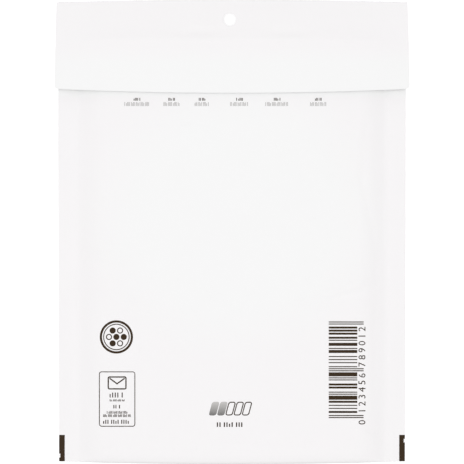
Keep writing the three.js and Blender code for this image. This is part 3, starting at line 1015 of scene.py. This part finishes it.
def bubble_tree():
    """Geometry nodes that stand a dome of height 1 on each point of the flat web."""
    tree = bpy.data.node_groups.new("Bubble Field", "GeometryNodeTree")
    inputs = (
        ("Geometry", "NodeSocketGeometry"), ("Sides", "NodeSocketInt"), ("Foot", "NodeSocketFloat"),
        ("Flatness", "NodeSocketFloat"), ("Material", "NodeSocketMaterial"),
    )
    for label, kind in inputs:
        tree.interface.new_socket(label, in_out="INPUT", socket_type=kind)
    tree.interface.new_socket("Geometry", in_out="OUTPUT", socket_type="NodeSocketGeometry")

    node = partial(add_node, tree)
    start = tree.nodes.new("NodeGroupInput").outputs
    ball = node("GeometryNodeMeshUVSphere", {"Rings": 10, "Radius": 1.0, "Segments": start["Sides"]})
    place = tree.nodes.new("GeometryNodeInputPosition")
    parts = node("ShaderNodeSeparateXYZ", {"Vector": place}).outputs
    values = {"A": parts["Z"], "B": -0.01}
    below = node("FunctionNodeCompare", values, data_type="FLOAT", operation="LESS_THAN")
    values = {"Geometry": ball, "Selection": below}
    upper = node("GeometryNodeDeleteGeometry", values, domain="POINT")
    rise = add_math(tree, "MAXIMUM", parts["Z"], 0.0)
    lifted = add_math(tree, "POWER", rise, start["Flatness"])
    joined = node("ShaderNodeCombineXYZ", {"X": parts["X"], "Y": parts["Y"], "Z": lifted})
    dome = node("GeometryNodeSetPosition", {"Geometry": upper, "Position": joined})
    size = node("ShaderNodeCombineXYZ", {"X": start["Foot"], "Y": start["Foot"], "Z": 1.0})
    values = {"Points": start["Geometry"], "Instance": dome, "Scale": size}
    stand = node("GeometryNodeInstanceOnPoints", values)
    real = node("GeometryNodeRealizeInstances", {"Geometry": stand})
    finish = node("GeometryNodeSetMaterial", {"Geometry": real, "Material": start["Material"]})
    node("NodeGroupOutput", {"Geometry": finish})
    return tree


def merge_objects(target, *others):
    """Joins the meshes of other objects into the target and removes them."""
    edit = bmesh.new()
    edit.from_mesh(target.data)
    for other in others:
        edit.from_mesh(other.data)
    edit.to_mesh(target.data)
    edit.free()
    for other in others:
        bpy.data.objects.remove(other)


class ENVELOPE_OT_closure(bpy.types.Operator):
    """Lay the adhesive strip and its release liner under the flap"""

    bl_idname = "envelope.closure"
    bl_label = "Closure"

    def execute(self, context):
        form = EnvelopeForm(settings().paper)
        s = settings().liner
        colours = settings().colours
        columns = sheet_columns(form, edge_inset=s.end_inset)
        end = form.s.flap_depth - s.from_edge
        start = end - s.release
        margin = (s.release - s.adhesive) / 2
        span = (start + margin, end - margin)
        strip = self.tape("adhesive_tape", form, columns, span, s.tape_gap, s.tape)
        finish_piece(strip, adhesive_material(tuple(colours.adhesive)), "adhesive", "adhesive_strip")
        below = 2 * s.tape_gap + s.tape
        cover = self.tape("release_tape", form, columns, (start, end), below, s.tape)
        material = paper_material("release_paper", tuple(colours.release), 0.02, 500.0, 0.12)
        finish_piece(cover, material, "release_paper", "release_liner")
        return {"FINISHED"}

    def tape(self, name, form, columns, span, below, thickness):
        rows = []
        for distance in np.linspace(span[1], span[0], 13):
            upper = flap_row(form, columns, distance, -below)
            lower = flap_row(form, columns, distance, -below - thickness)
            rows.append((upper, lower))
        tape = sheet_object(name, rows)
        mark_sharp(tape)
        return tape


class InkSheet:
    """Flat shapes that are laid on the front panel as one thin film of ink."""

    def __init__(self):
        self.form = EnvelopeForm(settings().paper)
        self.prints = settings().prints
        self.points = []
        self.faces = []

    def add(self, outline):
        """Adds one flat face over an outline, anticlockwise."""
        first = len(self.points)
        self.points += outline
        self.faces.append(tuple(range(first, first + len(outline))))

    def bar(self, left, bottom, right, top):
        self.add([(left, bottom), (right, bottom), (right, top), (left, top)])

    def stroke(self, path, width, closed=False):
        """Adds a line of even width along a path."""
        spots = np.array(path)
        count = len(spots)
        after = np.roll(spots, -1, axis=0)
        before = np.roll(spots, 1, axis=0)
        if not closed:
            after[-1] = 2 * spots[-1] - spots[-2]
            before[0] = 2 * spots[0] - spots[1]
        ahead = after - spots
        behind = spots - before
        ahead /= np.linalg.norm(ahead, axis=1)[:, None]
        behind /= np.linalg.norm(behind, axis=1)[:, None]
        along = ahead + behind
        along /= np.linalg.norm(along, axis=1)[:, None]
        reach = (width / 2) / np.clip((along * ahead).sum(axis=1), 0.5, 1.0)
        aside = np.stack([-along[:, 1], along[:, 0]], axis=1) * reach[:, None]
        first = len(self.points)
        self.points += [tuple(spot) for spot in spots - aside]
        self.points += [tuple(spot) for spot in spots + aside]
        for here in range(count if closed else count - 1):
            there = (here + 1) % count
            face = (here, there, count + there, count + here)
            self.faces.append(tuple(first + corner for corner in face))

    def disc(self, centre, radius, count=24):
        self.add(circle(centre, radius, count))

    def cut_cells(self, cell=1.0 * MM):
        """Cuts every shape along a square grid, so that it can follow the paper."""
        edit = bmesh.new()
        spots = [edit.verts.new((x, y, 0.0)) for x, y in self.points]
        for face in self.faces:
            edit.faces.new([spots[corner] for corner in face])
        bmesh.ops.remove_doubles(edit, verts=edit.verts[:], dist=1e-7)
        corners = np.array(self.points)
        for axis in (0, 1):
            normal = (1.0 - axis, float(axis), 0.0)
            first = math.ceil(corners[:, axis].min() / cell)
            last = math.floor(corners[:, axis].max() / cell)
            for line in range(first, last + 1):
                place = tuple(cell * line * share for share in normal)
                geometry = edit.verts[:] + edit.edges[:] + edit.faces[:]
                bmesh.ops.bisect_plane(
                    edit, geom=geometry, dist=1e-7, plane_co=place, plane_no=normal,
                )
        edit.verts.index_update()
        flat = np.array([vertex.co[:2] for vertex in edit.verts])
        faces = [tuple(vertex.index for vertex in face.verts) for face in edit.faces]
        rims = [
            (loop.vert.index, loop.link_loop_next.vert.index)
            for edge in edit.edges if len(edge.link_faces) == 1
            for loop in edge.link_loops
        ]
        edit.free()
        return flat, faces, rims

    def object(self, name, material):
        """The ink as a closed thin solid that follows the front panel."""
        flat, outlines, rims = self.cut_cells()
        top = self.form.front_height(flat[:, 0], flat[:, 1]) + self.prints.lift
        count = len(flat)
        upper = np.column_stack([flat, top])
        lower = np.column_stack([flat, top - self.prints.film])
        faces = list(outlines)
        faces += [tuple(count + corner for corner in reversed(face)) for face in outlines]
        faces += [(there, here, count + here, count + there) for here, there in rims]
        obj = mesh_object(name, np.concatenate([upper, lower]), faces, smooth=False)
        return finish_piece(obj, material, "white_paper")


def brown_ink():
    return ink_material("brown_ink", settings().colours.ink, 0.015)


def grey_ink():
    return ink_material("grey_ink", settings().colours.tint, 0.35)


def shaded_ink(low, high):
    """Grey ink that darkens from a higher to a lower Y."""
    tint = settings().colours.tint
    material = ink_material("shaded_ink", tint, 0.1)
    tree = material.node_tree
    level = add_node(tree, "ShaderNodeSeparateXYZ", {"Vector": object_place(tree)}).outputs["Y"]
    climb = add_ramp(tree, level, (low, high, 0.0, 1.0))
    shade = add_blend(tree, climb, opaque(tint, 0.35), opaque(tint, 1.35))
    feed(tree, group_node(material), {"Ink": shade})
    return material


def rounded_box(left, bottom, right, top, radius, count=6):
    """Points round a rectangle with rounded corners, anticlockwise."""
    path = []
    corners = ((right, bottom), (right, top), (left, top), (left, bottom))
    for turn, (x, y) in enumerate(corners):
        centre = (
            x - math.copysign(radius, x - (left + right) / 2),
            y - math.copysign(radius, y - (bottom + top) / 2),
        )
        start = -math.pi / 2 + turn * math.pi / 2
        path += circle(centre, radius, count, start, start + math.pi / 2)
    return path


class ENVELOPE_OT_register_marks(bpy.types.Operator):
    """Print the two register marks at the bottom corners"""

    bl_idname = "envelope.register_marks"
    bl_label = "Register Marks"

    # Lower and upper end of the nick in each mark's outer edge, by side
    NICKS = {-1: (-110.3 * MM, -108.3 * MM), 1: (-102.9 * MM, -101.1 * MM)}
    NICK_DEPTH = 0.55 * MM
    EDGE_GAP = 0.12 * MM

    def execute(self, context):
        sheet = InkSheet()
        s = settings().prints
        top = s.mark_bottom + s.mark_height
        for side, (low, high) in self.NICKS.items():
            levels = [s.mark_bottom, low, high, top]
            for band, (bottom, upper) in enumerate(zip(levels, levels[1:])):
                edge = sheet.form.half_width_at((bottom + upper) / 2) - self.EDGE_GAP
                nick = self.NICK_DEPTH if band == 1 else 0.0
                ends = sorted((side * (edge - nick), side * (edge - s.mark_width)))
                sheet.bar(ends[0], bottom, ends[1], upper)
        sheet.object("register_marks", brown_ink())
        return {"FINISHED"}


# Bar widths of each digit of a retail code, read in the order space, bar, space, bar
DIGIT_WIDTHS = (
    "3211", "2221", "2122", "1411", "1132", "1231", "1114", "1312", "1213", "3112",
)
# Which digits of the left half are read mirrored, for each leading digit
LEFT_PARITY = (
    "LLLLLL", "LLGLGG", "LLGGLG", "LLGGGL", "LGLLGG", "LGGLLG", "LGGGLL", "LGLGLG",
    "LGLGGL", "LGGLGL",
)
PRINTED_NUMBER = "0123456789012"


def code_runs(number):
    """Runs of white and ink modules of a thirteen-digit code, with the guards marked."""
    runs = [(1, True, True), (1, False, True), (1, True, True)]
    for digit, parity in zip(number[1:7], LEFT_PARITY[int(number[0])]):
        widths = DIGIT_WIDTHS[int(digit)]
        if parity == "G":
            widths = widths[::-1]
        runs += [(int(width), place % 2 == 1, False) for place, width in enumerate(widths)]
    runs += [(1, place % 2 == 1, True) for place in range(5)]
    for digit in number[7:]:
        widths = DIGIT_WIDTHS[int(digit)]
        runs += [(int(width), place % 2 == 0, False) for place, width in enumerate(widths)]
    return runs + [(1, True, True), (1, False, True), (1, True, True)]


class ENVELOPE_OT_barcode(bpy.types.Operator):
    """Print the upright code with a plain run of numbers"""

    bl_idname = "envelope.barcode"
    bl_label = "Barcode"

    # Middles of the first number and of each half's first number, and the pitch, in modules
    FIRST_MIDDLE = -4.2
    HALF_STARTS = (7.1, 52.8)
    NUMBER_PITCH = 6.95
    NUMBER_GAP = 0.6 * MM

    def execute(self, context):
        sheet = InkSheet()
        s = settings().prints
        level = s.bars_bottom
        for width, inked, guard in code_runs(PRINTED_NUMBER):
            height = width * s.module
            if inked:
                right = s.bars_left + s.bars_width + (s.guard if guard else 0.0)
                sheet.bar(s.bars_left, level, right, level + height)
            level += height
        sheet.object("barcode", brown_ink())
        self.numbers(s)
        return {"FINISHED"}

    def numbers(self, s):
        """The numbers beside the bars, turned to read upwards."""
        sheet = InkSheet()
        base = s.bars_left + s.bars_width + self.NUMBER_GAP + s.digit
        middles = [self.FIRST_MIDDLE]
        for start in self.HALF_STARTS:
            middles += [start + self.NUMBER_PITCH * place for place in range(6)]
        for digit, middle in zip(PRINTED_NUMBER, middles):
            level = s.bars_bottom + middle * s.module
            for face in digit_faces(digit, s.digit):
                sheet.add([(base - y, level + x) for x, y in face])
        sheet.object("printed_numbers", brown_ink())


def digit_faces(digit, height):
    """Flat faces of one number, standing on the origin."""
    curve = bpy.data.curves.new("digit", "FONT")
    curve.body = digit
    curve.resolution_u = 3
    obj = bpy.data.objects.new("digit", curve)
    bpy.context.scene.collection.objects.link(obj)
    graph = bpy.context.evaluated_depsgraph_get()
    mesh = bpy.data.meshes.new_from_object(obj.evaluated_get(graph))
    corners = np.array([vertex.co[:2] for vertex in mesh.vertices])
    low = corners.min(axis=0)
    high = corners.max(axis=0)
    foot = np.array([(low[0] + high[0]) / 2, low[1]])
    corners = (corners - foot) * height / (high[1] - low[1])
    faces = []
    for polygon in mesh.polygons:
        face = [tuple(corners[corner]) for corner in polygon.vertices]
        faces.append(face if polygon.normal.z > 0 else face[::-1])
    bpy.data.objects.remove(obj)
    bpy.data.curves.remove(curve)
    bpy.data.meshes.remove(mesh)
    return faces


class ENVELOPE_OT_round_mark(bpy.types.Operator):
    """Print the round mark: a plain ring about a cluster of bubbles"""

    bl_idname = "envelope.round_mark"
    bl_label = "Round Mark"

    RIM = 1.1 * MM
    INNER_RIM = 0.45 * MM
    INNER_DEPTH = 1.9 * MM
    BUBBLE = 1.5 * MM
    BUBBLE_LINE = 0.5 * MM
    PITCH = 3.6 * MM
    SIDES = 64

    def execute(self, context):
        sheet = InkSheet()
        s = settings().prints
        centre = (s.ring_x, s.ring_y)
        rim = circle(centre, s.ring - self.RIM / 2, self.SIDES)
        sheet.stroke(rim, self.RIM, closed=True)
        inner_rim = circle(centre, s.ring - self.INNER_DEPTH, self.SIDES)
        sheet.stroke(inner_rim, self.INNER_RIM, closed=True)
        sheet.disc(centre, self.BUBBLE)
        for step in range(6):
            angle = step * math.pi / 3
            x = centre[0] + self.PITCH * math.cos(angle)
            y = centre[1] + self.PITCH * math.sin(angle)
            if step % 2:
                ring = circle((x, y), self.BUBBLE - self.BUBBLE_LINE / 2, 24)
                sheet.stroke(ring, self.BUBBLE_LINE, closed=True)
            else:
                sheet.disc((x, y), self.BUBBLE)
        sheet.object("round_mark", brown_ink())
        return {"FINISHED"}


def word_marks(sheet, left, bottom, right, height, stroke, seed, spacing=1.65):
    """A row of plain upright ticks in short groups, spaced by multiples of their width."""
    place = left
    count = 0
    while place + stroke < right:
        tick = height * (1.0 if (count * 7 + seed) % 5 else 0.72)
        sheet.bar(place, bottom, place + stroke, bottom + tick)
        wide = (count * 5 + seed) % 4 == 3
        place += stroke * spacing * (1.7 if wide else 1.0)
        count += 1


class ENVELOPE_OT_label(bpy.types.Operator):
    """Print the framed label with a small envelope sign and plain rules"""

    bl_idname = "envelope.label"
    bl_label = "Framed Label"

    # Below the label's top, width, height and stroke in millimetres, and spacing in strokes
    RULES = (
        (12.5, 7.3, 2.4, 0.52, 2.4), (14.4, 7.3, 1.0, 0.28, 1.65), (17.8, 3.6, 1.7, 0.48, 2.1),
        (20.4, 10.0, 1.3, 0.32, 1.6), (22.0, 13.6, 1.3, 0.32, 1.6), (25.3, 13.6, 1.95, 0.50, 2.1),
    )

    def execute(self, context):
        sheet = InkSheet()
        s = settings().prints
        box = rounded_box(s.label_left, s.label_bottom, s.label_right, s.label_top, 1.1 * MM)
        sheet.stroke(box, 0.40 * MM, closed=True)
        middle = (s.label_left + s.label_right) / 2
        self.envelope_sign(sheet, middle, s.label_top - 5.4 * MM)
        for seed, (below, width, height, stroke, spacing) in enumerate(self.RULES):
            left = middle - width * MM / 2
            right = middle + width * MM / 2
            bottom = s.label_top - below * MM
            word_marks(sheet, left, bottom, right, height * MM, stroke * MM, seed, spacing)
        sheet.object("framed_label", brown_ink())
        return {"FINISHED"}

    def envelope_sign(self, sheet, x, y):
        half_wide = 4.3 * MM
        half_high = 2.9 * MM
        line = 0.62 * MM
        box = rounded_box(x - half_wide, y - half_high, x + half_wide, y + half_high, 0.6 * MM)
        sheet.stroke(box, line, closed=True)
        flap = [
            (x - half_wide + line, y + half_high - line),
            (x, y - 0.4 * MM),
            (x + half_wide - line, y + half_high - line),
        ]
        sheet.stroke(flap, line)


def slanted_pad(centre, width, height, lean=0.27):
    """Points round an upright rounded pad that leans to the right, anticlockwise."""
    left = centre[0] - width / 2
    bottom = centre[1] - height / 2
    box = rounded_box(left, bottom, left + width, bottom + height, 0.3 * width)
    return [(x + lean * (y - centre[1]), y) for x, y in box]


class ENVELOPE_OT_emblem(bpy.types.Operator):
    """Print the row of leaning pads at the bottom, part shaded and part outlined"""

    bl_idname = "envelope.emblem"
    bl_label = "Emblem"

    MIDDLE = (-0.7 * MM, -86.0 * MM)
    PAD_WIDTH = 3.1 * MM
    PAD_HEIGHT = 6.7 * MM
    PITCH = 4.0 * MM
    LINE = 0.5 * MM
    # Left end, bottom, right end, height and stroke of the ticks below, their seed and spacing
    TICKS = (-7.4 * MM, -94.9 * MM, 6.0 * MM, 2.2 * MM, 0.60 * MM, 2, 2.1)

    def execute(self, context):
        tint = InkSheet()
        line = InkSheet()
        for step in range(5):
            spot = (self.MIDDLE[0] + (step - 2) * self.PITCH, self.MIDDLE[1])
            if step < 2:
                tint.add(slanted_pad(spot, self.PAD_WIDTH + self.LINE, self.PAD_HEIGHT))
            else:
                pad = slanted_pad(spot, self.PAD_WIDTH, self.PAD_HEIGHT - self.LINE)
                line.stroke(pad, self.LINE, closed=True)
        low = self.MIDDLE[1] - self.PAD_HEIGHT / 2
        tint.object("emblem_tint", shaded_ink(low, low + self.PAD_HEIGHT))
        word_marks(line, *self.TICKS)
        line.object("emblem_lines", brown_ink())
        return {"FINISHED"}


class ENVELOPE_OT_small_print(bpy.types.Operator):
    """Print the row of small two-line notes below the flap"""

    bl_idname = "envelope.small_print"
    bl_label = "Small Print"

    # Left end, right end and middle of each note, in millimetres
    NOTES = (
        (-52.4, -40.3, -46.2), (-33.4, -25.4, -29.3), (-18.2, -11.1, -14.5),
        (-0.9, 7.8, 3.8), (16.3, 27.6, 22.1), (38.1, 46.3, 42.2),
    )
    # Reach of a head to the left and right of its middle, in millimetres
    HEAD_REACH = (1.7, 1.8)
    # Bottom, height and stroke of the ticks in the heads and in the lines
    HEAD = (64.0 * MM, 1.4 * MM, 0.36 * MM)
    LINE = (61.4 * MM, 1.9 * MM, 0.3 * MM)

    def execute(self, context):
        dark = InkSheet()
        pale = InkSheet()
        for seed, (left, right, middle) in enumerate(self.NOTES):
            head_left = (middle - self.HEAD_REACH[0]) * MM
            head_right = (middle + self.HEAD_REACH[1]) * MM
            bottom, height, stroke = self.HEAD
            word_marks(dark, head_left, bottom, head_right, height, stroke, seed)
            bottom, height, stroke = self.LINE
            word_marks(pale, left * MM, bottom, right * MM, height, stroke, seed + 3)
        dark.object("note_heads", brown_ink())
        pale.object("note_lines", grey_ink())
        return {"FINISHED"}


def seen_plainly(tree):
    """A factor of 1 for rays from the camera, off a glossy face or through a clear one."""
    path = tree.nodes.new("ShaderNodeLightPath").outputs
    seen = add_math(tree, "MAXIMUM", path["Is Camera Ray"], path["Is Glossy Ray"])
    return add_math(tree, "MAXIMUM", seen, path["Is Transmission Ray"])


class ENVELOPE_OT_stage(bpy.types.Operator):
    """Set the floor, the lamps and the camera above the envelope"""

    bl_idname = "envelope.stage"
    bl_label = "Stage"

    FLOOR_TONE = 0.6
    FLOOR_GLOW = 0.72
    # Name, place and side of each square lamp, in metres
    LAMPS = (
        ("top_lamp", (-0.12, -0.27, 3.9), 2.4),
        ("near_lamp", (-0.05, 0.08, 0.95), 0.3),
    )

    def execute(self, context):
        s = settings().stage
        scene = context.scene
        scene.view_settings.view_transform = "Standard"
        self.world(scene, s.world)
        self.floor(s.floor)
        for name, place, side in self.LAMPS:
            self.lamp(name, place, side, getattr(s, name))
        self.camera(scene, s)
        return {"FINISHED"}

    def world(self, scene, strength):
        world = bpy.data.worlds.new("even_light")
        world.use_nodes = True
        tree = world.node_tree
        tree.nodes.clear()
        values = {0: seen_plainly(tree), 2: strength, 3: 1.0}
        level = add_node(tree, "ShaderNodeMix", values, data_type="FLOAT")
        values = {"Color": (1.0, 1.0, 1.0, 1.0), "Strength": level}
        back = add_node(tree, "ShaderNodeBackground", values)
        add_node(tree, "ShaderNodeOutputWorld", {"Surface": back})
        scene.world = world

    def floor(self, side):
        half = side / 2
        corners = [(-half, -half, 0.0), (half, -half, 0.0), (half, half, 0.0), (-half, half, 0.0)]
        floor = mesh_object("floor", corners, [(0, 1, 2, 3)], smooth=False)
        material, tree, shader = new_material("floor_white")
        feed(tree, shader, {
            "Base Color": opaque([self.FLOOR_TONE] * 3),
            "Roughness": 0.9,
            "Emission Color": (1.0, 1.0, 1.0, 1.0),
            "Emission Strength": add_math(tree, "MULTIPLY", seen_plainly(tree), self.FLOOR_GLOW),
        })
        floor.data.materials.append(material)

    def lamp(self, name, place, side, power):
        data = bpy.data.lights.new(name, "AREA")
        data.shape = "SQUARE"
        data.size = side
        data.energy = power
        lamp = bpy.data.objects.new(name, data)
        lamp.location = place
        reach = math.hypot(place[0], place[1])
        lamp.rotation_euler = (0.0, math.atan2(reach, place[2]), math.atan2(place[1], place[0]))
        bpy.context.scene.collection.objects.link(lamp)

    def camera(self, scene, s):
        data = bpy.data.cameras.new("camera")
        data.sensor_width = 36.0
        data.sensor_fit = "HORIZONTAL"
        data.lens = data.sensor_width * s.camera_height / s.view_width
        data.clip_end = 10.0
        camera = bpy.data.objects.new("camera", data)
        camera.location = (0.0, 0.0, PADDED_THICKNESS / 2 + s.camera_height)
        scene.collection.objects.link(camera)
        scene.camera = camera


class ENVELOPE_PT_panel(bpy.types.Panel):
    """The envelope's pieces, in the order in which they are made"""

    bl_label = "Padded Envelope"
    bl_idname = "ENVELOPE_PT_panel"
    bl_space_type = "VIEW_3D"
    bl_region_type = "UI"
    bl_category = "Envelope"

    def draw(self, context):
        for operator in OPERATORS:
            self.layout.operator(operator.bl_idname)


OPERATORS = (
    ENVELOPE_OT_paper,
    ENVELOPE_OT_liner,
    ENVELOPE_OT_closure,
    ENVELOPE_OT_register_marks,
    ENVELOPE_OT_barcode,
    ENVELOPE_OT_round_mark,
    ENVELOPE_OT_label,
    ENVELOPE_OT_emblem,
    ENVELOPE_OT_small_print,
    ENVELOPE_OT_stage,
)

CLASSES = (
    EnvelopePaperSizes,
    EnvelopeLinerSizes,
    EnvelopeColours,
    EnvelopePrintSizes,
    EnvelopeStageSizes,
    PaddedEnvelope,
    *OPERATORS,
    ENVELOPE_PT_panel,
)


def register():
    for cls in CLASSES:
        bpy.utils.register_class(cls)
    bpy.types.Scene.padded_envelope = PointerProperty(type=PaddedEnvelope)


def unregister():
    del bpy.types.Scene.padded_envelope
    for cls in reversed(CLASSES):
        bpy.utils.unregister_class(cls)


def main():
    register()
    bpy.ops.envelope.paper()
    bpy.ops.envelope.liner()
    bpy.ops.envelope.closure()
    bpy.ops.envelope.register_marks()
    bpy.ops.envelope.barcode()
    bpy.ops.envelope.round_mark()
    bpy.ops.envelope.label()
    bpy.ops.envelope.emblem()
    bpy.ops.envelope.small_print()
    bpy.ops.envelope.stage()


if __name__ == "__main__":
    main()
